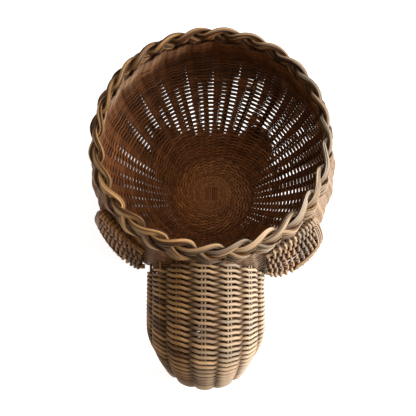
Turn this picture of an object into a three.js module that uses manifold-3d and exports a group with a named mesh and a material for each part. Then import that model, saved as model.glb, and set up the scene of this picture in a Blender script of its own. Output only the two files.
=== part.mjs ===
import * as THREE from 'three';
import Module from 'manifold-3d';
import { mergeVertices } from 'three/addons/utils/BufferGeometryUtils.js';

// Elephant-shaped wicker basket, in millimetres, +Z up, head towards -Y.
// A round bowl of twined reed stands on four woven legs. Its stakes end in a plaited border.
// A woven head with a trunk and two ears is fixed under the border at the front, a tail at the back.

// Reeds and clearances
const clearance = 0.3;
const stakeCount = 26;
const stakeLag = THREE.MathUtils.degToRad(5);
const stakeWidth = 6;
const stakeThickness = 3;
const weaverDiameter = 2.3;

// Bowl: radii and heights of the middle of its wall
const baseHeight = 52;
const baseRadius = 50;
const bellyRadius = 131.5;
const bellyRise = 114;
const wallTopRadius = 120.5;
const wallTopRise = 170.5;
const baseFlare = new THREE.Vector2(35, 17);
const bellyFullness = 44;
const shoulderFullness = 22;
const wallSteps = 7;

// Plaited border that stands on the wall
const borderWidth = 27;
const borderLean = THREE.MathUtils.degToRad(10);
const bundleWidth = 10;
const bundleThickness = 4;
const foldWidth = 7;
const foldThickness = 6;
const plaitDepth = 5.2;
const plaitSteps = 12;
const stakeNeck = 1.5;
const stakesPerPlait = 3;

// Base cross of two layers of sticks
const stickCounts = [6, 7];
const stickDiameter = 2.2;
const stickPitch = 2.5;
const crossHalf = 5.4;
const crossRadius = 9;
const spokeRadius = 13;
const baseWeaveInnerRadius = 14.5;

// Head and trunk
const headWidth = 123;
const headDepth = 112;
const headReach = 109.5;
const headOffset = -6;
const headTopGap = 2.5;
const headBend = 88;
const headWall = 4;
const throatSetback = 86;
const headStakeCount = 14;
const headFlute = 1.4;
const headRoot = 15;
const crownLength = 32;
const browDrop = 22;
const throatDrop = 31;
const cheekStart = 0.5;
const headSteps = 7;
const trunkTopWidth = 98;
const trunkTipWidth = 35;
const trunkTipHeight = 24;
const trunkTipInset = 13;
const trunkCapThickness = 4;
const trunkFullness = 0.4;
const trunkSlimness = 0.16;
const trunkSteps = 5;

// Ears
const earLength = 64;
const earHeight = 54;
const earNeckHeight = 26;
const earArch = 3;
const earBelly = 64;
const earEndTop = 8;
const earEndBottom = 44;
const earTopBends = [0.4, 0.85];
const earLowBends = [0.2, 0.85];
const earThickness = 4.6;
const earRodDiameter = 5.5;
const earBackGap = 0.6;
const ears = [
  { name: 'left', side: -1, neckGap: 2.418884, drop: 17.5, flare: 0 },
  { name: 'right', side: 1, neckGap: -2.035041, drop: 7.5, flare: 6 },
];
const earColumns = 6;
const earRows = 4;

// Legs
const legDiameter = 46;
const legFootDiameter = 42;
const legWall = 4;
const legFlute = 1.2;
const legStakeCount = 8;
const soleThickness = 5;
const soleBevel = 1.5;
const legHeadroom = 62;
const legSideOffset = 52;
const frontLegOffset = 62;
const backLegOffset = 56;

// Tail
const tailLength = 86;
const tailDiameter = 9;
const tailTipDiameter = 6;
const tuftLength = 22;
const tuftDiameter = 13;
const tailDrop = 12;
const tailSteps = 5;

// Finishes
const reedBrown = { color: 0x9a6a3c, roughness: 0.62, metalness: 0 };
const reedDark = { color: 0x6e4526, roughness: 0.7, metalness: 0 };
const reedPale = { color: 0xb99468, roughness: 0.55, metalness: 0 };
const reedGolden = { color: 0xa97a48, roughness: 0.58, metalness: 0 };

const wasm = await Module();
wasm.setup();

const basket = new THREE.Group();

// Shape tools

// Signed volume of a triangle list, positive when its faces point out.
function signedVolume(positions, indices) {
  const a = new THREE.Vector3();
  const b = new THREE.Vector3();
  const c = new THREE.Vector3();
  let volume = 0;
  for (let i = 0; i < indices.length; i += 3) {
    a.fromArray(positions, indices[i] * 3);
    b.fromArray(positions, indices[i + 1] * 3);
    c.fromArray(positions, indices[i + 2] * 3);
    volume += a.dot(b.cross(c)) / 6;
  }
  return volume;
}

// Triangles that close a ring: a fan for a round one, a ladder from side to side for a thin flat one.
function endTriangles(size, flat) {
  const triangles = [];
  if (flat) {
    for (let j = 0; j < size / 2 - 1; j += 1) {
      triangles.push(j, size - 1 - j, j + 1);
      triangles.push(j + 1, size - 1 - j, size - 2 - j);
    }
  } else {
    for (let j = 1; j < size - 1; j += 1) {
      triangles.push(0, j + 1, j);
    }
  }
  return triangles;
}

// A skin over rings of equal length. It closes on its first ring, or both its ends are closed.
function loft(rings, { loop = false, flat = false } = {}) {
  const size = rings[0].length;
  const positions = rings.flat().flatMap((point) => point.toArray());
  const indices = [];
  const bands = loop ? rings.length : rings.length - 1;
  for (let i = 0; i < bands; i += 1) {
    const lower = i * size;
    const upper = ((i + 1) % rings.length) * size;
    for (let j = 0; j < size; j += 1) {
      const next = (j + 1) % size;
      indices.push(lower + j, lower + next, upper + next);
      indices.push(lower + j, upper + next, upper + j);
    }
  }
  if (!loop) {
    const first = endTriangles(size, flat);
    const last = first.map((index) => index + (rings.length - 1) * size).reverse();
    indices.push(...first, ...last);
  }
  if (signedVolume(positions, indices) < 0) {
    indices.reverse();
  }
  const geometry = new THREE.BufferGeometry();
  geometry.setAttribute('position', new THREE.Float32BufferAttribute(positions, 3));
  geometry.setIndex(indices);
  return geometry;
}

// A solid turned round the upright axis. Profile points hold radius and height.
function revolve(profile, segments = 36) {
  const turned = new THREE.LatheGeometry(profile, segments);
  turned.deleteAttribute('normal');
  turned.deleteAttribute('uv');
  const geometry = mergeVertices(turned, 1e-4);
  geometry.rotateX(Math.PI / 2);
  const kept = [];
  const index = geometry.index.array;
  for (let i = 0; i < index.length; i += 3) {
    const [a, b, c] = index.slice(i, i + 3);
    if (a !== b && b !== c && c !== a) {
      kept.push(a, b, c);
    }
  }
  if (signedVolume(geometry.attributes.position.array, kept) < 0) {
    kept.reverse();
  }
  geometry.setIndex(kept);
  return geometry;
}

function toSolid(geometry) {
  const plain = geometry.clone();
  plain.deleteAttribute('normal');
  plain.deleteAttribute('uv');
  const merged = mergeVertices(plain, 1e-4);
  const vertProperties = new Float32Array(merged.attributes.position.array);
  const triVerts = new Uint32Array(merged.index.array);
  return new wasm.Manifold(new wasm.Mesh({ numProp: 3, vertProperties, triVerts }));
}

function toGeometry(solid) {
  const mesh = solid.getMesh();
  const geometry = new THREE.BufferGeometry();
  geometry.setAttribute('position', new THREE.Float32BufferAttribute(mesh.vertProperties, 3));
  geometry.setIndex([...mesh.triVerts]);
  return geometry;
}

function cutBy(geometry, ...cutters) {
  return toGeometry(cutters.reduce((solid, cutter) => solid.subtract(cutter), toSolid(geometry)));
}

function addPiece(name, geometry, finish) {
  const mesh = new THREE.Mesh(geometry, new THREE.MeshStandardMaterial(finish));
  mesh.name = name;
  mesh.geometry.computeVertexNormals();
  basket.add(mesh);
  return mesh;
}

function pieceNumber(index) {
  return String(index + 1).padStart(2, '0');
}

// Point at an angle round the bowl's axis, a radius and a height.
function roundBowl(angle, radius, height) {
  return new THREE.Vector3(radius * Math.cos(angle), radius * Math.sin(angle), height);
}

// Directions at each point of a path, the mean of the stretches on either side.
function pathTangents(points) {
  return points.map((point, i) => {
    const tangent = new THREE.Vector3();
    if (i > 0) {
      tangent.add(point.clone().sub(points[i - 1]).normalize());
    }
    if (i < points.length - 1) {
      tangent.add(points[i + 1].clone().sub(point).normalize());
    }
    return tangent.normalize();
  });
}

// A flat bundle of reeds along a path. Faces names the direction that its flat side faces at each point.
function bundle(points, faces, widths, thicknesses, sides = 6) {
  const tangents = pathTangents(points);
  const rings = points.map((point, i) => {
    const across = new THREE.Vector3().crossVectors(faces[i], tangents[i]).normalize();
    const out = new THREE.Vector3().crossVectors(tangents[i], across).normalize();
    return Array.from({ length: sides }, (_, k) => {
      const turn = (2 * Math.PI * k) / sides;
      return point.clone()
        .addScaledVector(across, Math.cos(turn) * widths[i] / 2)
        .addScaledVector(out, Math.sin(turn) * thicknesses[i] / 2);
    });
  });
  return loft(rings);
}

// Bowl profile: radius as x, height as y, from the base's edge up to the wall's top
const bellyHeight = baseHeight + bellyRise;
const wallTopHeight = baseHeight + wallTopRise;
const bowlProfile = new THREE.CurvePath();
bowlProfile.add(new THREE.CubicBezierCurve(
  new THREE.Vector2(baseRadius, baseHeight),
  new THREE.Vector2(baseRadius + baseFlare.x, baseHeight + baseFlare.y),
  new THREE.Vector2(bellyRadius, bellyHeight - bellyFullness),
  new THREE.Vector2(bellyRadius, bellyHeight),
));
bowlProfile.add(new THREE.CubicBezierCurve(
  new THREE.Vector2(bellyRadius, bellyHeight),
  new THREE.Vector2(bellyRadius, bellyHeight + shoulderFullness),
  new THREE.Vector2(
    wallTopRadius + shoulderFullness * Math.sin(borderLean),
    wallTopHeight - shoulderFullness * Math.cos(borderLean),
  ),
  new THREE.Vector2(wallTopRadius, wallTopHeight),
));

const wallStations = Array.from({ length: wallSteps + 1 }, (_, i) => {
  const tangent = bowlProfile.getTangentAt(i / wallSteps);
  return {
    place: bowlProfile.getPointAt(i / wallSteps),
    outward: new THREE.Vector2(tangent.y, -tangent.x),
  };
});

// Each stake pair stands beside the end of a base stick, a little way round from it.
function stakeAngle(index) {
  return Math.PI / 2 + stakeLag - (2 * Math.PI * index) / stakeCount;
}

// Wall: two skins of weavers with the stakes trapped between them

// Ring round the wall: flat over each stake, drawn in halfway between two stakes.
function wallRing(station, overStake, betweenStakes) {
  const ring = [];
  for (let k = 0; k < stakeCount; k += 1) {
    const halfFlat = (stakeWidth / 2 + clearance) / station.place.x;
    const places = [
      [stakeAngle(k) + halfFlat, overStake],
      [stakeAngle(k) - halfFlat, overStake],
      [stakeAngle(k) - Math.PI / stakeCount, betweenStakes],
    ];
    for (const [angle, offset] of places) {
      const place = station.place.clone().addScaledVector(station.outward, offset);
      ring.push(roundBowl(angle, place.x, place.y));
    }
  }
  return ring;
}

const stakeSide = stakeThickness / 2 + clearance;
const skinRidge = stakeSide + weaverDiameter;
const skinValley = clearance / 2 + weaverDiameter / 2;

function wallSkin(side) {
  const visible = wallStations.map((station) => wallRing(station, side * skinRidge, side * skinValley));
  const hidden = wallStations.map((station) => wallRing(station, side * stakeSide, side * clearance / 2));
  return loft([...visible, ...hidden.reverse()], { loop: true });
}

addPiece('wall_weave_outside', wallSkin(1), reedBrown);
addPiece('wall_weave_inside', wallSkin(-1), reedDark);

// Border: each stake bundle leaves the wall and runs one full turn of a three-strand plait.
// It lies flat where it crosses the others and gathers into a round one where it folds over an edge.

const borderHalfWidth = borderWidth / 2;
const borderSeat = borderHalfWidth + stakeNeck;
const borderCentre = new THREE.Vector2(
  wallTopRadius - borderSeat * Math.sin(borderLean),
  wallTopHeight + borderSeat * Math.cos(borderLean),
);
const plaitSwing = (borderWidth - foldWidth) / 2;
const plaitTurn = (2 * Math.PI * stakesPerPlait) / stakeCount;

// Place in the border: down is measured along its lean, out is square to it.
function borderPoint(angle, down, out) {
  return roundBowl(
    angle,
    borderCentre.x + down * Math.sin(borderLean) + out * Math.cos(borderLean),
    borderCentre.y - down * Math.cos(borderLean) + out * Math.sin(borderLean),
  );
}

function borderFace(angle) {
  return new THREE.Vector3(
    Math.cos(angle) * Math.cos(borderLean),
    Math.sin(angle) * Math.cos(borderLean),
    Math.sin(borderLean),
  );
}

function stakeBundle(index) {
  const start = stakeAngle(index);
  const points = [];
  const faces = [];
  const widths = [];
  const thicknesses = [];
  const places = wallStations.map((station) => station.place);
  const outwards = wallStations.map((station) => station.outward);
  const rimward = places.at(-1).clone().sub(places.at(-2)).setLength(stakeNeck);
  places.push(places.at(-1).clone().add(rimward));
  outwards.push(outwards.at(-1));
  places.forEach((place, i) => {
    points.push(roundBowl(start, place.x, place.y));
    faces.push(roundBowl(start, outwards[i].x, outwards[i].y));
    widths.push(stakeWidth);
    thicknesses.push(stakeThickness);
  });
  for (let step = 1; step < plaitSteps; step += 1) {
    const phase = Math.PI / 2 + (2 * Math.PI * step) / plaitSteps;
    const angle = start - (plaitTurn * step) / plaitSteps;
    points.push(borderPoint(angle, plaitSwing * Math.sin(phase), -plaitDepth * Math.sin(2 * phase)));
    faces.push(borderFace(angle));
    const fold = Math.sin(phase) ** 4;
    widths.push(THREE.MathUtils.lerp(bundleWidth, foldWidth, fold));
    thicknesses.push(THREE.MathUtils.lerp(bundleThickness, foldThickness, fold));
  }
  return bundle(points, faces, widths, thicknesses);
}

for (let k = 0; k < stakeCount; k += 1) {
  addPiece(`stake_bundle_${pieceNumber(k)}`, stakeBundle(k), reedGolden);
}

// Base: two crossed layers of sticks, opened into spokes, between two rounds of weaving

const baseEdge = baseRadius - wallStations[0].outward.x * skinRidge - clearance;

function baseStick(index, layer) {
  const side = index - (stickCounts[layer] - 1) / 2;
  const spread = (2 * Math.PI * side) / stakeCount;
  const crossLift = (stickDiameter + clearance) / 2 * (layer ? 1 : -1);
  const half = [
    new THREE.Vector3(crossHalf, side * stickPitch, crossLift),
    new THREE.Vector3(crossRadius, side * stickPitch, crossLift),
    new THREE.Vector3(spokeRadius * Math.cos(spread), spokeRadius * Math.sin(spread), 0),
    new THREE.Vector3(baseEdge * Math.cos(spread), baseEdge * Math.sin(spread), 0),
  ];
  const points = [
    ...half.map((point) => new THREE.Vector3(-point.x, point.y, point.z)).reverse(),
    ...half,
  ];
  const up = new THREE.Vector3(0, 0, 1);
  const size = points.map(() => stickDiameter);
  const stick = bundle(points, points.map(() => up), size, size, 5);
  if (layer) {
    stick.rotateZ(Math.PI / 2);
  }
  stick.translate(0, 0, baseHeight);
  return stick;
}

stickCounts.forEach((count, layer) => {
  for (let i = 0; i < count; i += 1) {
    addPiece(`base_stick_${pieceNumber(layer * stickCounts[0] + i)}`, baseStick(i, layer), reedPale);
  }
});

// Round of base weaving above or below the spokes.
function baseWeave(side) {
  const near = stickDiameter / 2 + clearance;
  const far = near + weaverDiameter;
  const profile = [
    new THREE.Vector2(baseWeaveInnerRadius, near),
    new THREE.Vector2(baseEdge, near),
    new THREE.Vector2(baseEdge, far),
    new THREE.Vector2(baseWeaveInnerRadius, far),
    new THREE.Vector2(baseWeaveInnerRadius, near),
  ];
  return revolve(profile.map((point) => new THREE.Vector2(point.x, baseHeight + side * point.y)));
}

addPiece('base_weave_inside', baseWeave(1), reedBrown);
addPiece('base_weave_underside', baseWeave(-1), reedBrown);

// Everything outside is trimmed to the bowl's outer face, less the clearance
const envelopeOffset = skinRidge + clearance;
const borderFaceOffset = plaitDepth * Math.sin(Math.PI / 3) + bundleThickness / 2 + clearance;

function inBorder(down, out) {
  return new THREE.Vector2(
    borderCentre.x + down * Math.sin(borderLean) + out * Math.cos(borderLean),
    borderCentre.y - down * Math.cos(borderLean) + out * Math.sin(borderLean),
  );
}

const wallEnvelope = wallStations.map((station) => (
  station.place.clone().addScaledVector(station.outward, envelopeOffset)
));
const underside = baseHeight - Math.max(envelopeOffset, stickDiameter / 2 + weaverDiameter + 2 * clearance);
const envelopeSides = 3 * stakeCount;
const bowlEnvelope = toSolid(revolve([
  new THREE.Vector2(0, underside),
  new THREE.Vector2(baseRadius, underside),
  ...wallEnvelope,
  inBorder(borderHalfWidth, borderFaceOffset),
  inBorder(-borderHalfWidth, borderFaceOffset),
  new THREE.Vector2(0, borderCentre.y + borderHalfWidth),
].map((point) => point.setX(point.x / Math.cos(Math.PI / envelopeSides))), envelopeSides));

// Radius of the bowl's outer face at a height, clearance included.
function envelopeRadius(height) {
  const above = wallEnvelope.findIndex((point) => point.y > height);
  const lower = wallEnvelope[Math.max(above - 1, 0)];
  const upper = wallEnvelope[above < 0 ? wallEnvelope.length - 1 : Math.max(above, 1)];
  return THREE.MathUtils.mapLinear(height, lower.y, upper.y, lower.x, upper.x);
}

// Head and trunk: sections that fan out round the throat, from a crown line to a chin line.
// The hand-made head sits a little to the left of the middle.

const headTop = wallTopHeight - headTopGap;
const headTip = new THREE.Vector2(-(bellyRadius + headReach), headTop - headBend);
const throat = new THREE.Vector2(headTip.x + throatSetback, headTip.y - throatDrop);

function profileLine(...corners) {
  return new THREE.CubicBezierCurve(...corners.map(([along, height]) => new THREE.Vector2(along, height)));
}

const headCrown = profileLine(
  [-(wallTopRadius - headRoot), headTop],
  [headTip.x + crownLength, headTop],
  [headTip.x, headTop - browDrop],
  [headTip.x, headTip.y],
);
const headChin = profileLine(
  [-(wallTopRadius - 2 * headRoot), headTop - headDepth],
  [(throat.x - wallTopRadius) / 2, headTop - headDepth],
  [throat.x + headRoot, headTop - headDepth],
  [throat.x, throat.y],
);

// One section square to the middle plane: stakes stand out as ridges, the weave dips between them.
function headSection(crown, chin, width, inset) {
  const middle = crown.clone().add(chin).multiplyScalar(0.5);
  const halfDepth = crown.clone().sub(chin).multiplyScalar(0.5);
  const steps = headStakeCount * 2;
  return Array.from({ length: steps }, (_, k) => {
    const turn = (2 * Math.PI * k) / steps;
    const flute = headFlute * width / headWidth;
    const swell = (k % 2 ? -flute : flute) - inset;
    const depth = (halfDepth.length() + swell) / halfDepth.length() * Math.cos(turn);
    return new THREE.Vector3(
      headOffset + (width / 2 + swell) * Math.sin(turn),
      middle.x + halfDepth.x * depth,
      middle.y + halfDepth.y * depth,
    );
  });
}

function hollowHorn(crownLine, chinLine, widthAt, steps) {
  const sections = (inset) => Array.from({ length: steps + 1 }, (_, i) => {
    const t = i / steps;
    return headSection(crownLine.getPoint(t), chinLine.getPoint(t), widthAt(t), inset);
  });
  return loft([...sections(0), ...sections(headWall).reverse()], { loop: true });
}

function headWidthAt(t) {
  return THREE.MathUtils.lerp(headWidth, trunkTopWidth, THREE.MathUtils.smoothstep(t, cheekStart, 1));
}

const head = hollowHorn(headCrown, headChin, headWidthAt, headSteps);
addPiece('head_weave', cutBy(head, bowlEnvelope), reedPale);

const trunkMouth = headTip.clone().sub(throat);
const trunkDrop = trunkMouth.rotateAround(new THREE.Vector2(), Math.PI / 2).setLength(clearance);
const trunkStart = headTip.clone().add(trunkDrop);
const trunkThroat = throat.clone().add(trunkDrop);
const tipFront = new THREE.Vector2(headTip.x + trunkTipInset, trunkTipHeight);
const tipBack = new THREE.Vector2(tipFront.x + trunkTipWidth, trunkTipHeight);
const trunkFall = trunkStart.y - trunkTipHeight;
const trunkFront = profileLine(
  [trunkStart.x, trunkStart.y],
  [trunkStart.x, trunkStart.y - trunkFall * trunkFullness],
  [tipFront.x, tipFront.y + trunkFall * trunkFullness],
  [tipFront.x, tipFront.y],
);
const trunkBack = profileLine(
  [trunkThroat.x, trunkThroat.y],
  [trunkThroat.x, trunkThroat.y - trunkFall * trunkSlimness],
  [tipBack.x, tipBack.y + trunkFall * trunkFullness],
  [tipBack.x, tipBack.y],
);

function trunkWidthAt(t) {
  return THREE.MathUtils.lerp(trunkTopWidth, trunkTipWidth, t);
}

addPiece('trunk_weave', hollowHorn(trunkFront, trunkBack, trunkWidthAt, trunkSteps), reedPale);

function trunkCap() {
  const drops = [clearance, clearance + trunkCapThickness];
  return loft(drops.map((drop) => {
    const down = new THREE.Vector2(0, -drop);
    return headSection(tipFront.clone().add(down), tipBack.clone().add(down), trunkTipWidth, headFlute);
  }));
}

addPiece('trunk_tip', trunkCap(), reedGolden);

// Ears: a bordered fan on each side, hugging the shoulder of the bowl

const earStandOff = earBackGap + Math.max(earThickness, earRodDiameter) / 2;

// Place on an ear: along from the neck, down from the top edge, out from its middle. The neck stands its gap
// round the bowl from where the head's side meets it.
function earPoint(ear, along, down, out) {
  const top = wallTopHeight - ear.drop;
  const height = top - down;
  const bowl = envelopeRadius(Math.max(height, bellyHeight));
  const radius = bowl + earStandOff + ear.flare * (down / earHeight) ** 2 + out;
  const shoulder = envelopeRadius(top);
  const headSide = headWidth / 2 + ear.side * headOffset;
  const angle = Math.asin(headSide / shoulder) + (ear.neckGap + along) / shoulder;
  return new THREE.Vector3(ear.side * radius * Math.sin(angle), -radius * Math.cos(angle), height);
}

const earTopEdge = profileLine(
  [0, 0],
  [earLength * earTopBends[0], -earArch],
  [earLength * earTopBends[1], -earArch],
  [earLength, earEndTop],
);
const earLowEdge = profileLine(
  [0, earNeckHeight],
  [earLength * earLowBends[0], earHeight],
  [earLength * earLowBends[1], earBelly],
  [earLength, earEndBottom],
);

function earWeave(ear) {
  const columns = earColumns;
  const half = earThickness / 2;
  const rings = Array.from({ length: columns + 1 }, (_, i) => {
    const top = earTopEdge.getPoint(i / columns);
    const low = earLowEdge.getPoint(i / columns);
    const places = Array.from({ length: earRows + 1 }, (_, j) => top.clone().lerp(low, j / earRows));
    const faceAt = (out) => places.map((place) => earPoint(ear, place.x, place.y, out));
    return [...faceAt(half), ...faceAt(-half).reverse()];
  });
  return loft(rings, { flat: true });
}

// Path of the rod round the fan, a clearance outside the weave.
function earRod(ear) {
  const edge = [
    ...Array.from({ length: earColumns + 1 }, (_, i) => earTopEdge.getPoint(i / earColumns)),
    ...Array.from({ length: earColumns + 1 }, (_, i) => earLowEdge.getPoint(1 - i / earColumns)),
  ];
  const away = earRodDiameter / 2 + clearance;
  const path = edge.map((place, i) => {
    const before = edge[Math.max(i - 1, 0)];
    const after = edge[Math.min(i + 1, edge.length - 1)];
    const along = after.clone().sub(before).normalize();
    const corner = i === earColumns || i === earColumns + 1 ? Math.SQRT2 : 1;
    return place.clone().add(new THREE.Vector2(along.y, -along.x).multiplyScalar(away * corner));
  });
  const points = path.map((place) => earPoint(ear, place.x, place.y, 0));
  const faces = points.map((point) => new THREE.Vector3(point.x, point.y, 0).normalize());
  const size = points.map(() => earRodDiameter);
  return bundle(points, faces, size, size);
}

for (const ear of ears) {
  addPiece(`ear_${ear.name}_weave`, earWeave(ear), reedBrown);
  addPiece(`ear_${ear.name}_rod`, earRod(ear), reedPale);
}

// Legs: woven tubes closed by a sole

function legRing(radius, height) {
  const steps = legStakeCount * 2;
  return Array.from({ length: steps }, (_, k) => {
    const turn = (2 * Math.PI * k) / steps;
    const swollen = radius + (k % 2 ? -legFlute : legFlute);
    return new THREE.Vector3(swollen * Math.cos(turn), swollen * Math.sin(turn), height);
  });
}

function legWeave(x, y) {
  const foot = soleThickness + clearance;
  const top = bellyHeight - legHeadroom;
  const ends = [[legFootDiameter / 2, foot], [legDiameter / 2, baseHeight], [legDiameter / 2, top]];
  const outside = ends.map(([radius, height]) => legRing(radius, height));
  const inside = ends.map(([radius, height]) => legRing(radius - legWall, height)).reverse();
  return cutBy(loft([...outside, ...inside], { loop: true }).translate(x, y, 0), bowlEnvelope);
}

function legSole() {
  const radius = legFootDiameter / 2 + legFlute;
  return revolve([
    new THREE.Vector2(0, 0),
    new THREE.Vector2(radius - soleBevel, 0),
    new THREE.Vector2(radius, soleBevel),
    new THREE.Vector2(radius, soleThickness),
    new THREE.Vector2(0, soleThickness),
  ], legStakeCount * 2);
}

for (const [end, y] of [['front', -frontLegOffset], ['back', backLegOffset]]) {
  for (const [name, x] of [['left', -legSideOffset], ['right', legSideOffset]]) {
    addPiece(`leg_${end}_${name}_weave`, legWeave(x, y), reedBrown);
    addPiece(`leg_${end}_${name}_sole`, legSole(), reedGolden).position.set(x, y, 0);
  }
}

// Tail: a thin plait that hangs between two stakes down the back and ends in a tuft

const tailAngle = (stakeAngle(0) + stakeAngle(1)) / 2;

function tailPath() {
  const top = wallTopHeight - tailDrop;
  const sink = skinRidge - skinValley - clearance;
  return Array.from({ length: tailSteps + 1 }, (_, i) => {
    const height = top - (tailLength * i) / tailSteps;
    const out = envelopeRadius(Math.max(height, bellyHeight)) - sink + tailDiameter / 2;
    return roundBowl(tailAngle, out, height);
  });
}

function tailPlait() {
  const points = tailPath();
  const size = points.map((_, i) => THREE.MathUtils.lerp(tailDiameter, tailTipDiameter, i / tailSteps));
  return bundle(points, points.map(() => roundBowl(tailAngle, 1, 0)), size, size, 8);
}

addPiece('tail_plait', tailPlait(), reedGolden);

const tailEnd = tailPath().pop();
const tuft = new THREE.CylinderGeometry(tailTipDiameter / 2, tuftDiameter / 2, tuftLength, 8);
tuft.rotateX(Math.PI / 2);
const tailTuft = addPiece('tail_tuft', tuft, reedPale);
tailTuft.position.set(tailEnd.x, tailEnd.y, tailEnd.z - clearance - tuftLength / 2);

// The origin lies under the middle of the whole basket, on the surface that it stands on
const reach = new THREE.Box3().setFromObject(basket);
const middle = reach.getCenter(new THREE.Vector3());
basket.position.set(-middle.x, -middle.y, -reach.min.z);

export default basket;
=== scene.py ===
"""Elephant-shaped wicker basket, reed by reed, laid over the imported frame.

Every reed is a tube: at each point of its line a small ring stands square to the line, and the rings join
into one closed skin. A twined row is two reeds that wind round one another between the stakes. With s
counted in stakes, one stands out = reach * (cos(pi s) - 0.12 cos(3 pi s)) / 0.88 from the middle of the
work, lies level across a stake, and is up = lift only about halfway between two. The other is its opposite
in both. In the wall the two lie straight over one another halfway, and inside and outside elsewhere. A
strand of the border swings down = swing * (sin(a) - 0.08 sin(3 a)) / 1.08 and out = -depth * sin(2 a) while
its turn a grows by one full turn over three stakes. Sizes are in millimetres until a mesh is made.
"""

import bpy
import numpy as np
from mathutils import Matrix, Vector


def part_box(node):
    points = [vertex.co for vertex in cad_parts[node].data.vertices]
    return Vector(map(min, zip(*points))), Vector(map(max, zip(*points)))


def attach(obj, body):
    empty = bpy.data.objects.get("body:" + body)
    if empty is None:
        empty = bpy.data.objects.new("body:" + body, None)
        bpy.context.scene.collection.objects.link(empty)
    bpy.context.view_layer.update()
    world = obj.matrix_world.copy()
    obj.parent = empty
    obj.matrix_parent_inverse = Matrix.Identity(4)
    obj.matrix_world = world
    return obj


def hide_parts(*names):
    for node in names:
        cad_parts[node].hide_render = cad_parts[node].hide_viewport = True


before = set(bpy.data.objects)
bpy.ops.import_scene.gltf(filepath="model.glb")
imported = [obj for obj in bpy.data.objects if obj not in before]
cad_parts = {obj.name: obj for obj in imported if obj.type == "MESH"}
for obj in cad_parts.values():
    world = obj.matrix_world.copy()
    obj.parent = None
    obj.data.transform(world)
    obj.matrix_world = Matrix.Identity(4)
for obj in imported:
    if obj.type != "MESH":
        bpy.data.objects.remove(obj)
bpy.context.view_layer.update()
MM = 0.001


# Wall: about forty rows of twining in thin round reed, worked upwards as one long spiral over 26 pairs of
# stakes. It flares from the base to the belly and closes in again below the border.

def unit(vectors):
    """Vectors divided by their own lengths."""
    return vectors / np.maximum(np.linalg.norm(vectors, axis=-1, keepdims=True), 1e-9)


def bezier(corners, t):
    """Curve from the first of four corners to the last, drawn towards the two between them, at shares t."""
    a, b, c, d = (np.asarray(corner, float) for corner in corners)
    t = np.asarray(t, float)[..., None]
    return a * (1 - t) ** 3 + 3 * b * t * (1 - t) ** 2 + 3 * c * t**2 * (1 - t) + d * t**3


def reeds(lines, faces, radius, height=0.0, closed=False, sides=6, reach=None):
    """Tubes along lines of points. Faces is the way that the work faces at each point, height how far the
    line stands off the middle of the work, and crest grows from 0 there to 1 at the reach, -1 on its back."""
    if closed:
        along = unit(np.roll(lines, -1, 1) - np.roll(lines, 1, 1))
        steps = np.roll(lines, -1, 1) - lines
    else:
        along = unit(np.gradient(lines, axis=1))
        steps = np.diff(lines, axis=1)
    across = unit(np.cross(faces, along))
    out = np.cross(along, across)
    turn = 2 * np.pi * np.arange(sides) / sides
    size = np.broadcast_to(radius, lines.shape[:2])[..., None]
    ring = across[:, :, None] * np.cos(turn)[:, None] + out[:, :, None] * np.sin(turn)[:, None]
    lift = np.broadcast_to(height, lines.shape[:2])[..., None] + size * np.sin(turn)
    run = np.cumsum(np.linalg.norm(steps, axis=-1), axis=1)
    return {
        "rings": lines[:, :, None] + size[..., None] * ring,
        "run": np.concatenate([np.zeros((len(lines), 1)), run], axis=1),
        "crest": np.clip(lift / (reach or np.max(size)), -1, 1),
        "closed": closed,
    }


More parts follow.
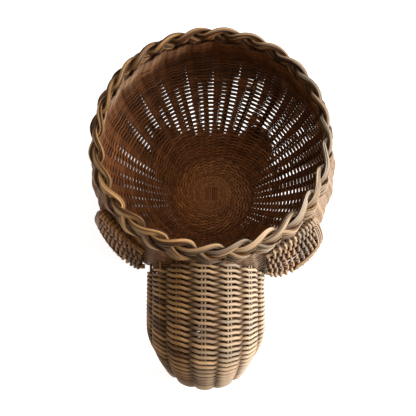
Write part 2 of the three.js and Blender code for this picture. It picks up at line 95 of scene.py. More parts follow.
def reed_piece(name, groups, nodes, material, seed, reed_length=1700):
    """One piece from groups of reeds. A reed's length and turn are its UV, and each has its own tint."""
    rng = np.random.default_rng(seed)
    points, quads, places, tints, crests = [], [], [], [], []
    first = 0
    for group in groups:
        rings, run = group["rings"], group["run"]
        count, steps, sides = rings.shape[:3]
        number = first + np.arange(count * steps * sides).reshape(count, steps, sides)
        here = number if group["closed"] else number[:, :-1]
        after = np.roll(number, -1, 1) if group["closed"] else number[:, 1:]
        quad = np.stack([here, np.roll(here, -1, 2), np.roll(after, -1, 2), after], -1)
        length = np.stack([run[:, :-1], run[:, :-1], run[:, 1:], run[:, 1:]], -1)[:, :, None]
        turn = (np.arange(sides)[:, None] + [0, 1, 1, 0]) / sides
        quads.append(quad.reshape(-1, 4))
        places.append(np.stack(np.broadcast_arrays(length * MM, turn), -1).reshape(-1, 2))
        if not group["closed"]:
            side = np.arange(sides // 2 - 1)
            cap = np.stack([side + 1, side, sides - 1 - side, sides - 2 - side], -1)
            for end, order in ((0, cap), (-1, cap[:, ::-1])):
                quads.append(number[:, end][:, order].reshape(-1, 4))
                length = run[:, end][:, None, None]
                places.append(np.stack(np.broadcast_arrays(length * MM, order / sides), -1).reshape(-1, 2))
        stretch = (run[:, :steps] // reed_length).astype(int)
        table = rng.random((count, stretch.max() + 1))
        tint = np.take_along_axis(table, stretch, axis=1)
        tints.append(np.repeat(tint, sides, axis=1).ravel())
        crests.append(group["crest"].ravel())
        points.append(rings.reshape(-1, 3))
        first += count * steps * sides
    quads = np.concatenate(quads).astype(np.int32)
    mesh = bpy.data.meshes.new(name)
    mesh.vertices.add(first)
    mesh.vertices.foreach_set("co", (np.concatenate(points) * MM).ravel())
    mesh.loops.add(quads.size)
    mesh.loops.foreach_set("vertex_index", quads.ravel())
    mesh.polygons.add(len(quads))
    mesh.polygons.foreach_set("loop_start", np.arange(0, quads.size, 4, dtype=np.int32))
    mesh.polygons.foreach_set("use_smooth", np.ones(len(quads), bool))
    mesh.uv_layers.new(name="reed").uv.foreach_set("vector", np.concatenate(places).ravel())
    for key, values in (("tint", tints), ("crest", crests)):
        mesh.attributes.new(key, "FLOAT", "POINT").data.foreach_set("value", np.concatenate(values))
    mesh.update(calc_edges=True)
    mesh.materials.append(material)
    piece = bpy.data.objects.new(name, mesh)
    bpy.context.scene.collection.objects.link(piece)
    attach(piece, "root")
    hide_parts(*nodes)
    return piece


class Value:
    """A number in a material. Arithmetic on it adds Math nodes."""

    def __init__(self, tree, socket):
        self.tree = tree
        self.socket = socket

    def math(self, operation, *values):
        node = self.tree.nodes.new("ShaderNodeMath")
        node.operation = operation
        for place, value in zip(node.inputs, (self, *values)):
            join(self.tree, place, value)
        return Value(self.tree, node.outputs[0])

    def __add__(self, other):
        return self.math("ADD", other)

    def __sub__(self, other):
        return self.math("SUBTRACT", other)

    def __rsub__(self, other):
        return self.math("MULTIPLY_ADD", -1.0, other)

    def __mul__(self, other):
        return self.math("MULTIPLY", other)

    def __pow__(self, other):
        return self.math("POWER", other)

    def clamped(self):
        return self.math("MINIMUM", 1.0).math("MAXIMUM", 0.0)

    __radd__ = __add__
    __rmul__ = __mul__


def join(tree, place, value):
    """Give an input a number or colour, or link it to a value."""
    if isinstance(value, Value):
        tree.links.new(value.socket, place)
    else:
        place.default_value = value


class Paint:
    """A material on the standard surface shader, and the calls that add nodes to it."""

    def __init__(self, name):
        self.material = bpy.data.materials.new(name)
        self.material.use_nodes = True
        self.tree = self.material.node_tree
        self.shader = self.tree.nodes["Principled BSDF"]

    def node(self, kind, output=0, settings=(), inputs=()):
        node = self.tree.nodes.new("ShaderNode" + kind)
        for key, value in dict(settings).items():
            setattr(node, key, value)
        for key, value in dict(inputs).items():
            join(self.tree, node.inputs[key], value)
        return Value(self.tree, node.outputs[output])

    def mix(self, factor, first, second, how="MIX"):
        settings = {"data_type": "RGBA", "blend_type": how, "clamp_factor": True}
        return self.node("Mix", 2, settings, {0: factor, 6: first, 7: second})

    def set(self, **inputs):
        for key, value in inputs.items():
            join(self.tree, self.shader.inputs[key.replace("_", " ")], value)


# Pale colour of bleached reed, also used as painted light on the side towards the window lamp.
bleached_and_lit = (0.74, 0.63, 0.48, 1)
# Tint for painted shade on the backs of reeds and so on the bowl's inside.
painted_inside_shade = (1.0, 0.80, 0.66, 1)


def reed_paint(name, dark, light, roughness, grime_and_shade_strength, bleach_and_light, spread):
    """Stained round reed: a tint of its own, as far apart as the spread, long grain, soft blotches, soiling
    and painted shade in the crevices, painted shade that makes the backs darker and redder, and a pale
    bleaching mixed with painted light on the side to the window lamp and on the backs high up."""
    paint = Paint(name)
    tint = paint.node("Attribute", "Fac", {"attribute_name": "tint"})
    face = paint.node("Attribute", "Fac", {"attribute_name": "crest"})
    crest = face.math("ABSOLUTE")
    behind = (face * -4.0).clamped()
    parts = paint.tree.nodes.new("ShaderNodeSeparateXYZ")
    paint.tree.links.new(paint.node("UVMap", "UV", {"uv_map": "reed"}).socket, parts.inputs[0])
    length = Value(paint.tree, parts.outputs[0])
    turn = Value(paint.tree, parts.outputs[1])
    place = paint.node("TexCoord", "Object")
    spot = paint.tree.nodes.new("ShaderNodeSeparateXYZ")
    paint.tree.links.new(place.socket, spot.inputs[0])
    to_light = Value(paint.tree, spot.outputs[0])
    lengthwise = paint.node("CombineXYZ", 0, inputs={0: length * 34, 1: turn * 7, 2: tint * 61})
    grain = paint.node("TexNoise", "Fac", inputs={"Vector": lengthwise, "Scale": 1.0, "Detail": 4.0})
    bands = paint.node("CombineXYZ", 0, inputs={0: length * 9, 1: tint * 23, 2: 0.0})
    patch = paint.node("TexNoise", "Fac", inputs={"Vector": bands, "Scale": 1.0, "Detail": 2.0})
    blotch = paint.node("TexNoise", "Fac", inputs={"Vector": place, "Scale": 26.0, "Detail": 3.0})
    shade = (tint - 0.5) * spread + grain * 0.6 + patch * 0.5 + blotch * 0.4 - 0.275
    colour = paint.mix(shade, dark, light)
    # Painted light: on the fronts it goes by the side towards the window lamp, on the backs by the far side,
    # and there only high up, where the lamp reaches the inner wall below the rim.
    high = (Value(paint.tree, spot.outputs[2]) * 15.0 - 2.4).clamped()
    facing = to_light * (1.0 - behind * 2.0)
    faded_and_lit = (facing * 10.0 + 0.2 - behind * 0.35 + blotch * 0.3).clamped()
    faded_and_lit = faded_and_lit * (1.0 - behind + behind * high)
    # The pale mix is partly bleaching and partly painted light, strongest on the raised crests of the reeds.
    colour = paint.mix(faded_and_lit * crest * (bleach_and_light + (0.5 - bleach_and_light) * behind), colour, bleached_and_lit)
    # Painted shade: the backs of reeds are multiplied darker and redder, less where the painted light falls.
    colour = paint.mix(behind * 0.9 * (1.0 - faded_and_lit * 0.8), colour, painted_inside_shade, "MULTIPLY")
    # Darker where the crest is low, in the crevices between reeds and down their sides: partly grime, partly
    # painted shade.
    grime_and_shade = (1.0 - crest ** 1.1) * grime_and_shade_strength
    colour = paint.mix(grime_and_shade, colour, (dark[0] * 0.32, dark[1] * 0.27, dark[2] * 0.22, 1))
    bump = paint.node("Bump", "Normal", inputs={"Strength": 0.35, "Distance": 0.0004, "Height": grain})
    paint.set(Base_Color=colour, Roughness=grain * 0.3 + (roughness - 0.15), Normal=bump)
    paint.shader.inputs["Specular IOR Level"].default_value = 0.2
    return paint.material


brown_reed = reed_paint(
    "brown reed", (0.072, 0.024, 0.007, 1), (0.43, 0.185, 0.06, 1),
    roughness=0.55, grime_and_shade_strength=0.9, bleach_and_light=0.5, spread=0.45,
)

wall_out_lo, wall_out_hi = (np.array(corner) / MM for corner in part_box("wall_weave_outside"))
base_lo, base_hi = (np.array(corner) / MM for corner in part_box("base_weave_inside"))
under_lo = np.array(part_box("base_weave_underside")[0]) / MM
axis_x, axis_y = (base_lo[:2] + base_hi[:2]) / 2
stake_count = 26
base_height = (base_hi[2] + under_lo[2]) / 2
base_radius = 50.0
flare_out = 35.0
flare_up = 17.0
half_wall = 4.1
belly_radius = (wall_out_hi[0] - wall_out_lo[0]) / 2 - half_wall
belly_height = base_height + 114
belly_fullness = 44.0
top_radius = 120.5
top_height = base_height + 170.5
border_lean = np.radians(10)
shoulder = 22.0
wall_sway = 2.4

# The wall's profile runs from the base to the belly and on to the rim, as radius and height.
low_curve = bezier(
    [(base_radius, base_height), (base_radius + flare_out, base_height + flare_up),
     (belly_radius, belly_height - belly_fullness), (belly_radius, belly_height)],
    np.linspace(0, 1, 240),
)
high_curve = bezier(
    [(belly_radius, belly_height), (belly_radius, belly_height + shoulder),
     (top_radius + shoulder * np.sin(border_lean), top_height - shoulder * np.cos(border_lean)),
     (top_radius, top_height)],
    np.linspace(0, 1, 160),
)
profile = np.concatenate([low_curve, high_curve[1:]])
profile_way = unit(np.gradient(profile, axis=0))
profile_length = np.concatenate([[0], np.cumsum(np.linalg.norm(np.diff(profile, axis=0), axis=1))])
wall_length = profile_length[-1]


def bowl(angle, length, out=0.0):
    """Point at an angle, a length up the profile and an offset outwards, and the way the wall faces there."""
    radius, height = (np.interp(length, profile_length, profile[:, i]) for i in (0, 1))
    rise, lean = (np.interp(length, profile_length, profile_way[:, i]) for i in (1, 0))
    beyond = np.maximum(length - wall_length, 0)
    radius = radius + out * rise + beyond * profile_way[-1, 0]
    height = height - out * lean + beyond * profile_way[-1, 1]
    sway = wall_sway * np.sin(np.pi * np.clip(length / wall_length, 0, 1))
    x = axis_x + sway + radius * np.cos(angle)
    point = np.stack([x, axis_y + radius * np.sin(angle), height], -1)
    face = np.stack([rise * np.cos(angle), rise * np.sin(angle), -lean + 0 * angle], -1)
    return point, face


def outer_radius(height, thickness=3.6):
    """Radius of the wall's outer face at a height."""
    return np.interp(height, profile[:, 1], profile[:, 0] + thickness * profile_way[:, 1])


def eased(share):
    """From 0 to 1 with a soft start and end."""
    share = np.clip(share, 0, 1)
    return share * share * (3 - 2 * share)


def twining(s, reach, lift, closed=0.0):
    """Out and up of two reeds that wind round one another, s counted in stakes. They lie level across a stake
    and twist halfway to the next, or where they are closed keep apart all the way."""
    crest = (np.cos(np.pi * s) - 0.12 * np.cos(3 * np.pi * s)) / 0.88
    sine = np.sin(np.pi * s)
    twist = np.sign(sine) * eased((np.abs(sine) - 0.5) / 0.45)
    wave = (1 - closed) * twist + closed * sine / np.sqrt(sine**2 + 0.01)
    pair = np.array([1.0, -1.0]).reshape((2,) + (1,) * np.ndim(s))
    return pair * reach * crest, pair * lift * wave


def tight_twining(s, reach, lift, closed):
    """The same for the wall, whose reeds lie one over the other halfway and inside and outside elsewhere."""
    away = np.abs(s - np.floor(s) - 0.5)
    swap = np.pi / 2 * eased((away - 0.12) / 0.1)
    crest = np.sign(np.cos(np.pi * s)) * (0.52 * np.sin(swap) + 0.48 * eased((away - 0.36) / 0.12))
    sine = np.sin(np.pi * s)
    wave = (1 - closed) * np.sign(sine) * np.cos(swap) + closed * sine / np.sqrt(sine**2 + 0.01)
    pair = np.array([1.0, -1.0])[:, None]
    return pair * reach * crest, pair * lift * wave


def handwork(angle, length):
    """How far a hand-made wall strays sideways, in radians, and upwards: a sum of slow waves round and up
    the wall, and nothing at its two edges."""
    ease = np.clip(np.minimum(length, wall_length - length) / 25, 0, 1)
    aside = 0.011 * np.sin(2 * angle + length / 47) + 0.007 * np.sin(5 * angle - length / 31 + 2)
    up = 0.9 * np.sin(3 * angle + length / 37 + 1) + 0.6 * np.sin(7 * angle - length / 19)
    return aside * ease, up * ease


stake_lag = np.radians(5)
stake_angles = np.pi / 2 + stake_lag - 2 * np.pi * np.arange(stake_count) / stake_count
wall_weaver = 1.3
wall_stake = 1.5
wall_bite = 0.35
open_pitch = 5.45
foot_band = 35.0
leg_band = 16.0
top_band = 29.0
open_side = np.radians(78)


def closeness(angle, length):
    """Where thicker weavers close the slits: at the foot and higher over the legs, below the border, round
    the front, and in patches elsewhere, which are products of waves round and up the wall."""
    back = np.cos(angle - open_side)
    front = np.clip((0.42 - back) / 0.35, 0, 1)
    over_legs = np.cos(2 * (angle - np.pi / 4)) ** 2 * np.abs(np.cos(angle))
    foot = np.clip((foot_band + leg_band * over_legs - length) / 6, 0, 1)
    top = np.clip((length - wall_length + top_band) / 5, 0, 1)
    patches = np.sin(3 * angle + length / 17) * np.sin(5 * angle - length / 11 + 2)
    patches = patches + np.sin(angle * 7 + length / 9)
    return np.clip(np.maximum.reduce([front, foot, top, (patches - 1.05) * 4, 0.02 + 0.14 * patches]), 0, 1)


def row_pitch(length):
    """Distance between rows, which are beaten closer at the foot and below the border."""
    foot = np.clip((46 - length) / 10, 0, 1)
    top = np.clip((length - wall_length + 30) / 10, 0, 1)
    return open_pitch - 1.25 * foot - 1.2 * top


# The last row lies a little above the wall's edge, under the plait.
row_at = np.linspace(0.6, wall_length + 2.2, 800)
row_number = np.concatenate([[0], np.cumsum(np.diff(row_at) / row_pitch(row_at[:-1]))])
wall_rows = int(row_number[-1]) + 1

# Within one stake a row has its points where it bends: over the stake and about the change halfway.
stake_parts = [0, 0.06, 0.12, 0.2, 0.29, 0.33, 0.38, 0.5, 0.62, 0.67, 0.71, 0.8, 0.88, 0.94]


def wall_weave(name, from_row, to_row, seed):
    """A stretch of the spiral. It turns by one stake for each step of s and climbs by one pitch a round."""
    whole = np.arange(from_row * stake_count, to_row * stake_count)[:, None]
    s = (whole + stake_parts).ravel()
    angle = stake_angles[0] - 2 * np.pi * s / stake_count
    length = np.interp(s / stake_count, row_number, row_at)
    pitch = row_pitch(length)
    closed = closeness(angle, length)
    midway = eased(1.4 - np.abs(s - np.floor(s) - 0.5) / 0.1)
    thicker = 0.35 * np.maximum(closed, 0.6 * midway)
    thinner = 0.12 * np.clip(np.cos(angle), 0, 1)
    weaver = np.minimum(wall_weaver * (1 + thicker - thinner), pitch * 0.38)
    out, up = tight_twining(s, wall_stake + wall_weaver - wall_bite, -pitch / 4, closed)
    aside, stray = handwork(angle, length)
    line, face = bowl(angle + aside + 0 * out, length + up + stray, out)
    group = reeds(line, face, weaver, out * 0.1, reach=1.7)
    # The crest is raised to a power, which widens the crevice grime and painted shade between the rows.
    group["crest"] = np.sign(group["crest"]) * np.abs(group["crest"]) ** 1.5
    nodes = ["wall_weave_outside", "wall_weave_inside"]
    return reed_piece(name, [group], nodes, brown_reed, seed, reed_length=620)


# The spiral goes in two halves, so that neither is too heavy a mesh.
wall_weave("wall_weave_low", -1, wall_rows // 2, 11)
wall_weave("wall_weave_high", wall_rows // 2, wall_rows + 1, 12)


# Stake bundles: each pair of stakes stands in the wall and then turns clockwise into the border, where more
# reeds join it to make a strand of fourteen. The strands plait over one another and tuck in below.

golden_reed = reed_paint(
    "golden reed", (0.085, 0.031, 0.009, 1), (0.78, 0.43, 0.17, 1),
    roughness=0.5, grime_and_shade_strength=0.93, bleach_and_light=0.8, spread=1.9,
)

border_half = 13.5
border_neck = 1.5
border_reed = 1.22
lane_pitch = 2.9
lane_depth = 1.2
plait_swing = 7.7
plait_depth = 3.5
skirt = 3.0
front_skirt = 10.5
front_lean = 4.5
back_lean = 4.0
stake_steps = 56
plait_steps = 46
stakes_per_plait = 3
plait_turn = 2 * np.pi * stakes_per_plait / stake_count
border_radius = top_radius - (border_half + border_neck) * np.sin(border_lean)
border_height = top_height + (border_half + border_neck) * np.cos(border_lean)


def border(angle, down, out):
    """Point in the border: down along its lean, out square to it. Its lower edge stands off, most over the
    head, and its back leans out a little."""
    front = np.clip(np.maximum(-1.6 * np.sin(angle), -0.9 * np.cos(angle)), 0, 1)
    share = np.clip((down + border_half) / (2 * border_half), 0, 1)
    out = out + skirt * share**2 + front * (front_skirt * share - front_lean)
    out = out + back_lean * np.clip(np.sin(angle), 0, 1) * (1 - share)
    radius = border_radius + down * np.sin(border_lean) + out * np.cos(border_lean)
    height = border_height - down * np.cos(border_lean) + out * np.sin(border_lean)
    point = np.stack([axis_x + radius * np.cos(angle), axis_y + radius * np.sin(angle), height], -1)
    flat = np.cos(border_lean) + 0 * radius
    face = np.stack([flat * np.cos(angle), flat * np.sin(angle), np.sin(border_lean) + 0 * radius], -1)
    return point, face


def smoothed(lines, times):
    """Lines with each inner point drawn towards its neighbours, which rounds off their corners."""
    for _ in range(times):
        lines = lines.copy()
        lines[..., 1:-1, :] = (lines[..., :-2, :] + 2 * lines[..., 1:-1, :] + lines[..., 2:, :]) / 4
    return lines


# The fourteen reeds of a strand lie side by side in three layers that are fullest in the middle. The first
# two are the stakes themselves, and the rest join them just below the border.
lanes = np.array([-1.0, 1.0, -2.0, 0.0, 2.0, -2.3, -0.8, 0.8, 2.3, -2.0, -1.0, 0.0, 1.0, 2.0])[:, None]
layers = np.repeat([1.0, 0.0, -1.0], [5, 4, 5])[:, None] * (1.15 - 0.09 * lanes**2)
each_lane = (len(lanes), 1)
joining = stake_steps - 2


def stake_bundle(index, rng):
    """A pair of stakes up the wall, then the strand round the border, whose place goes with its turn a as the
    formula at the top says. Round the bowl it runs ahead of its turn by 0.18 * (cos(2 a) + 1)."""
    start = stake_angles[index]
    wall_at = np.linspace(1.5, wall_length + border_neck, stake_steps)
    aside, _ = handwork(start, wall_at)
    stake_line, stake_face = bowl(start + aside, wall_at)
    turn = np.linspace(np.pi / 2 + 0.5, 5 * np.pi / 2 - 0.25, plait_steps)
    angle = start - plait_turn * (turn - np.pi / 2 + 0.18 * (np.cos(2 * turn) + 1)) / (2 * np.pi)
    swing = plait_swing + rng.uniform(-0.5, 0.5)
    fold = np.concatenate([0 * wall_at, np.sin(turn) ** 4])
    down = swing * (np.sin(turn) - 0.08 * np.sin(3 * turn)) / 1.08
    out = -plait_depth * np.sin(2 * turn)
    plait_line, plait_face = border(angle, down, out)
    line = smoothed(np.concatenate([stake_line, plait_line]), 4)
    face = unit(smoothed(np.concatenate([stake_face, plait_face]), 4))
    across = unit(np.cross(face, np.gradient(line, axis=0)))
    in_border = np.clip((np.arange(len(line)) - stake_steps + 4) / 10, 0, 1)
    spread = lanes * lane_pitch * (1 - 0.14 * fold)
    spread = spread * in_border + np.sign(lanes) * wall_stake * (1 - in_border)
    stray_by = rng.uniform(0.1, 0.7, each_lane)
    wander = stray_by * np.sin(np.arange(len(line)) / 6 + rng.uniform(0, 6, each_lane))
    raised = (rng.uniform(-0.3, 0.4, each_lane) + layers * lane_depth * (1 + 0.25 * fold)) * in_border
    lines = line + across * (spread + wander * in_border)[..., None] + face * raised[..., None]
    faces = np.broadcast_to(face, lines.shape)
    size = (wall_stake + (border_reed - wall_stake) * in_border) * rng.uniform(0.8, 1.25, each_lane)
    size[:, -3:] *= [0.9, 0.7, 0.4]
    whole = reeds(lines[:2], faces[:2], size[:2])
    size[:, joining:stake_steps] *= [0.5, 0.8]
    added = reeds(lines[2:, joining:], faces[2:, joining:], size[2:, joining:])
    # Painted light and shade on the strands: brightest where a strand turns over its top or bottom edge,
    # dimmer between; the stakes up the wall are painted darker, most above the foot.
    lit_share = 0.55 + 0.45 * np.maximum(np.abs(np.sin(2 * turn)), np.sin(turn) ** 4)
    lit_share = np.concatenate([0.35 + 0.35 * np.clip((45 - wall_at) / 20, 0, 1), lit_share])
    for group, part in ((whole, lit_share), (added, lit_share[joining:])):
        rings = group["rings"]
        upward = rings[..., 2] - rings[..., 2].mean(axis=2, keepdims=True)
        # Painted shade on the back of the border, and a painted highlight along the strands' upper edges,
        # weaker at the back.
        back = np.clip((rings[..., 1] - axis_y) / 60, 0, 1)
        top = np.clip((rings[..., 2] - border_height - 2 - 4 * back) / 6, 0, 1) * (1 - 0.3 * back)
        top = top * np.clip(upward / border_reed, 0, 1) ** 1.9
        part = part[:, None] * (1 - 0.4 * back)
        crest = np.sign(group["crest"]) * np.abs(group["crest"]) ** 1.4
        group["crest"] = np.where(top > np.abs(crest * part), top, crest * part)
    name = f"stake_bundle_{index + 1:02d}"
    return reed_piece(name + "_reeds", [whole, added], [name], golden_reed, 100 + index)


bundle_rng = np.random.default_rng(7)
for index in range(stake_count):
    stake_bundle(index, bundle_rng)


# Base: six straight sticks of round reed laid across seven in the middle of the floor. Beyond the cross
# their ends open out like the spokes of a wheel and come into one plane.

warm_reed = reed_paint(
    "warm reed", (0.10, 0.030, 0.007, 1), (0.50, 0.185, 0.05, 1),
    roughness=0.55, grime_and_shade_strength=0.92, bleach_and_light=0.05, spread=0.4,
)

stick_counts = (6, 7)
stick_radius = 1.24
stick_pitch = 2.5
stick_lift = 1.25
cross_half = 5.4
cross_radius = 9.0
spoke_radius = 13.0
base_edge = (base_hi[0] - base_lo[0]) / 2


def base_stick(number, layer, index):
    """A stick straight across the cross at its own place in its layer, then out along its spoke's angle."""
    side = index - (stick_counts[layer] - 1) / 2
    turn = 2 * np.pi * side / stake_count
    lift = stick_lift if layer else -stick_lift
    knots = np.array([0.0, cross_half, cross_radius, spoke_radius, base_edge])
    along = np.array([0, cross_half, cross_radius, spoke_radius * np.cos(turn), base_edge * np.cos(turn)])
    aside = np.array([side * stick_pitch] * 3 + [spoke_radius * np.sin(turn), base_edge * np.sin(turn)])
    rise = np.array([lift, lift, lift, 0, 0])
    at = np.linspace(-base_edge, base_edge, 120)
    x, y, z = (np.interp(np.abs(at), knots, values) for values in (along, aside, rise))
    x = x * np.sign(at)
    flat = (y, x) if layer else (x, y)
    line = smoothed(np.stack([axis_x + flat[0], axis_y + flat[1], base_height + z], -1)[None], 6)
    face = np.broadcast_to([0.0, 0.0, 1.0], line.shape)
    name = f"base_stick_{number:02d}"
    stick = reeds(line, face, stick_radius, sides=8)
    reed_piece(name + "_reed", [stick], [name], warm_reed, number)


for layer, count in enumerate(stick_counts):
    for index in range(count):
        base_stick(layer * stick_counts[0] + index + 1, layer, index)


# Base weave: a spiral of thin twined reed, beaten close, that holds the spokes apart. It starts round the
# cross and ends where the wall turns up.

base_weaver = 1.95
base_reach = 2.2
base_lift = 0.85
base_inner = 11.0
base_outer = base_edge + 0.2
base_pitch = 3.9
base_steps = 8
base_turns = (base_outer - base_inner) / base_pitch + 2
s = np.linspace(0, base_turns * stake_count, int(base_turns * stake_count * base_steps))
out, aside = twining(s, base_reach, base_lift, 1.0)
uneven = 0.12 * np.sin(2 * np.pi * s / stake_count * 3 + s / 9)
uneven = uneven - 1.2 * np.clip(1.5 - s / stake_count, 0, 1) * np.cos(8 * np.pi * s / stake_count)
radius = base_inner + base_pitch * np.maximum(s / stake_count - 1, 0)
radius = np.minimum(radius, base_outer) + aside + uneven
angle = np.pi / 2 - 2 * np.pi * s / stake_count
line = np.stack([axis_x + radius * np.cos(angle), axis_y + radius * np.sin(angle), base_height + out], -1)
group = reeds(line, np.broadcast_to([0.0, 0.0, 1.0], line.shape), base_weaver, out * 0.12)
# Darker towards the outer edge, where the wall turns up, through the crest that drives the crevice grime and
# painted shade.
edge = 1 - 0.35 * np.clip(s / stake_count - base_turns + 2, 0, 1)[:, None]
group["crest"] = np.sign(group["crest"]) * np.abs(group["crest"]) ** 1.8 * edge
base_nodes = ["base_weave_inside", "base_weave_underside"]
reed_piece("base_weave", [group], base_nodes, warm_reed, 21, reed_length=140)


# Head: a hollow horn of thicker twined reed over 14 thin stake pairs. It springs from the bowl's shoulder
# under the border, runs forward as the brow and bends down into the trunk.

pale_reed = reed_paint(
    "pale reed", (0.10, 0.040, 0.013, 1), (0.51, 0.275, 0.105, 1),
    roughness=0.5, grime_and_shade_strength=0.9, bleach_and_light=0.9, spread=0.85,
)

head_width = 123.0
head_offset = -6.0
head_inset = 2.4
brow = -241.0
throat = -155.0
head_top = top_height - 2.5
head_bend = head_top - 88
head_chin = head_top - 112
throat_drop = 31.0
trunk_width = 98.0
head_stakes = 14
head_phase = np.radians(-2.5)
head_weaver = 1.85
head_stake = 1.1
head_stake_gap = 1.75
head_pitch = 5.8
crown_corners = [
    (15 - top_radius, head_top), (brow + 32, head_top), (brow, head_top - 22), (brow, head_bend),
]
chin_corners = [
    (30 - top_radius, head_chin), ((throat - top_radius) / 2, head_chin),
    (throat + 15, head_chin), (throat, head_bend - throat_drop),
]


def horn(t, turn, crown, chin, width):
    """Place on a horn of ellipses from a crown line to a chin line, turn 0 at the crown."""
    top, low = bezier(crown, t), bezier(chin, t)
    middle, half = (top + low) / 2, (top - low) / 2
    long = np.linalg.norm(half, axis=-1)
    stretch = ((long - head_inset) / long * np.cos(turn))[..., None]
    spot = middle + half * stretch
    x = axis_x + head_offset + (width / 2 - head_inset) * np.sin(turn)
    return np.stack([x, axis_y + spot[..., 0], spot[..., 1]], -1)


def off_face(place, a, b, out, sign):
    """Point at an offset from the surface place(a, b), and the way the surface faces there."""
    a, b, out = np.broadcast_arrays(a, b, out)
    here = place(a, b)
    face = sign * unit(np.cross(place(a + 1e-3, b) - here, place(a, b + 1e-3) - here))
    return here + face * out[..., None], face


def head(t, turn):
    """The head keeps its width to the cheeks, halfway, and then eases down to the trunk's."""
    width = head_width + (trunk_width - head_width) * eased((t - 0.5) / 0.5)
    return horn(t, turn, crown_corners, chin_corners, width)


def beyond_bowl(point, room=0.0):
    """Whether points lie outside the bowl's wall."""
    reach = np.hypot(point[..., 0] - axis_x, point[..., 1] - axis_y)
    return reach > outer_radius(point[..., 2]) + room


steps_per_stake = 8
tested_turns = 721
least_arc = 30


def twined_rows(place, rows, stakes, phase, weaver, stake, free, thinning=0.0, sign=1.0):
    """Twined rows round a surface place(row, turn): whole rings where the ring is free, else arcs that run
    from one end of their free part to the other. Where rows draw together under the chin the weavers are
    thinner, by size = weaver * (1 - thinning + thinning * cos(turn))."""
    groups = []
    reach = stake + weaver
    turns = np.linspace(-np.pi, np.pi, tested_turns)
    arcs = {True: [], False: []}
    for row in rows:
        clear = free(place(np.full(tested_turns, row), turns))
        if clear.all():
            arcs[True].append((row, -np.pi, np.pi))
        elif clear.sum() > least_arc:
            hidden = turns[~clear]
            begin, end = -np.min(np.abs(hidden)), np.min(np.abs(hidden))
            arcs[False].append((row, begin, end))
    for closed, spans in arcs.items():
        if not spans:
            continue
        row, begin, end = (np.array(values)[:, None] for values in zip(*spans))
        count = stakes * steps_per_stake
        part = np.arange(count) / (count if closed else count - 1)
        turn = begin + (end - begin) * part
        s = (turn - phase) * stakes / (2 * np.pi)
        out, up = twining(s, reach, 1.0)
        size = weaver * np.clip(1 - thinning + thinning * np.cos(turn), 0.6, 1.0)
        point, face = off_face(place, row + 0 * turn, turn, 0, sign)
        way = unit(place(row + 1e-3 + 0 * turn, turn) - place(row + 0 * turn, turn))
        lines = point + face * out[..., None] + way * (up * size * 0.8)[..., None]
        faces = np.broadcast_to(face, lines.shape)
        shape = (-1,) + turn.shape[1:]
        radius = np.broadcast_to(size, out.shape).reshape(shape)
        groups.append(reeds(
            lines.reshape(-1, count, 3), faces.reshape(-1, count, 3), radius,
            out.reshape(shape), closed=closed, sides=8, reach=reach + weaver,
        ))
    return groups


head_t = np.linspace(0, 1, 400)
crown_line = bezier(crown_corners, head_t)
crown_run = np.concatenate([[0], np.cumsum(np.linalg.norm(np.diff(crown_line, axis=0), axis=1))])
seam_run = np.interp(-(top_radius + 4), crown_line[::-1, 0], crown_run[::-1])
row_runs = np.arange(seam_run + 2.5, crown_run[-1] - 1.5, head_pitch)
head_rows = np.interp(row_runs, crown_run, head_t)
head_groups = twined_rows(
    head, head_rows, head_stakes, head_phase, head_weaver, head_stake, beyond_bowl, thinning=0.18,
)


stake_points = 60


def stake_pairs(place, turns, from_row, to_row, gap, radius, sign=1.0):
    """Pairs of stakes that run along a surface, a gap to each side of their turn."""
    turns = np.asarray(turns)[:, None]
    row = np.linspace(np.asarray(from_row), np.asarray(to_row), stake_points, axis=-1)
    row = np.broadcast_to(row, (len(turns), stake_points))
    line, face = off_face(place, row, turns + 0 * row, 0, sign)
    across = unit(np.cross(face, np.gradient(line, axis=1)))
    line = line + face * 0.5 * radius
    lines = np.concatenate([line + across * gap, line - across * gap])
    return reeds(lines, np.concatenate([face, face]), radius, radius * 0.4, reach=radius * 1.5)


head_turns = head_phase + 2 * np.pi * np.arange(head_stakes) / head_stakes
seam_test = np.linspace(0, 0.6, 300)
outside = beyond_bowl(head(seam_test[None], head_turns[:, None]), -2.5)
seam_rows = seam_test[np.argmax(outside, axis=1)]
head_groups.append(stake_pairs(
    head, head_turns, seam_rows, np.ones(head_stakes), head_stake_gap, head_stake,
))
reed_piece("head_reeds", head_groups, ["head_weave"], pale_reed, 31, reed_length=1200)


# Trunk: the head's own stakes and twining carried down from the brow and drawn in, over 20 rows, to a
# narrow tip just off the ground.

trunk_rows = 20
trunk_weaver = 1.6
trunk_stake_gap = 1.2
tip_height = 24.0
tip_front = brow + 13
tip_width = 35.0
trunk_fall = head_bend - tip_height
front_corners = [
    (brow, head_bend), (brow, head_bend - 0.4 * trunk_fall),
    (tip_front, tip_height + 0.4 * trunk_fall), (tip_front, tip_height),
]
back_corners = [
    (throat, head_bend - throat_drop), (throat, head_bend - throat_drop - 0.16 * trunk_fall),
    (tip_front + tip_width, tip_height + 0.4 * trunk_fall), (tip_front + tip_width, tip_height),
]


def trunk(t, turn):
    """The same horn of ellipses from the brow to the tip, narrowing evenly."""
    return horn(t, turn, front_corners, back_corners, trunk_width + (tip_width - trunk_width) * t)


def anywhere(point):
    """Nothing hides any part of the trunk's rows."""
    return np.ones(point.shape[:-1], bool)


trunk_groups = twined_rows(
    trunk, np.linspace(0.03, 0.98, trunk_rows), head_stakes, head_phase, trunk_weaver, head_stake, anywhere,
    thinning=0.16,
)
trunk_groups.append(stake_pairs(
    trunk, head_turns, np.zeros(head_stakes), np.full(head_stakes, 0.995), trunk_stake_gap, head_stake,
))
reed_piece("trunk_reeds", trunk_groups, ["trunk_weave"], pale_reed, 41, reed_length=1200)


# Trunk tip: the last reed wound into a flat coil, which closes the trunk and is held inside its lowest
# row.

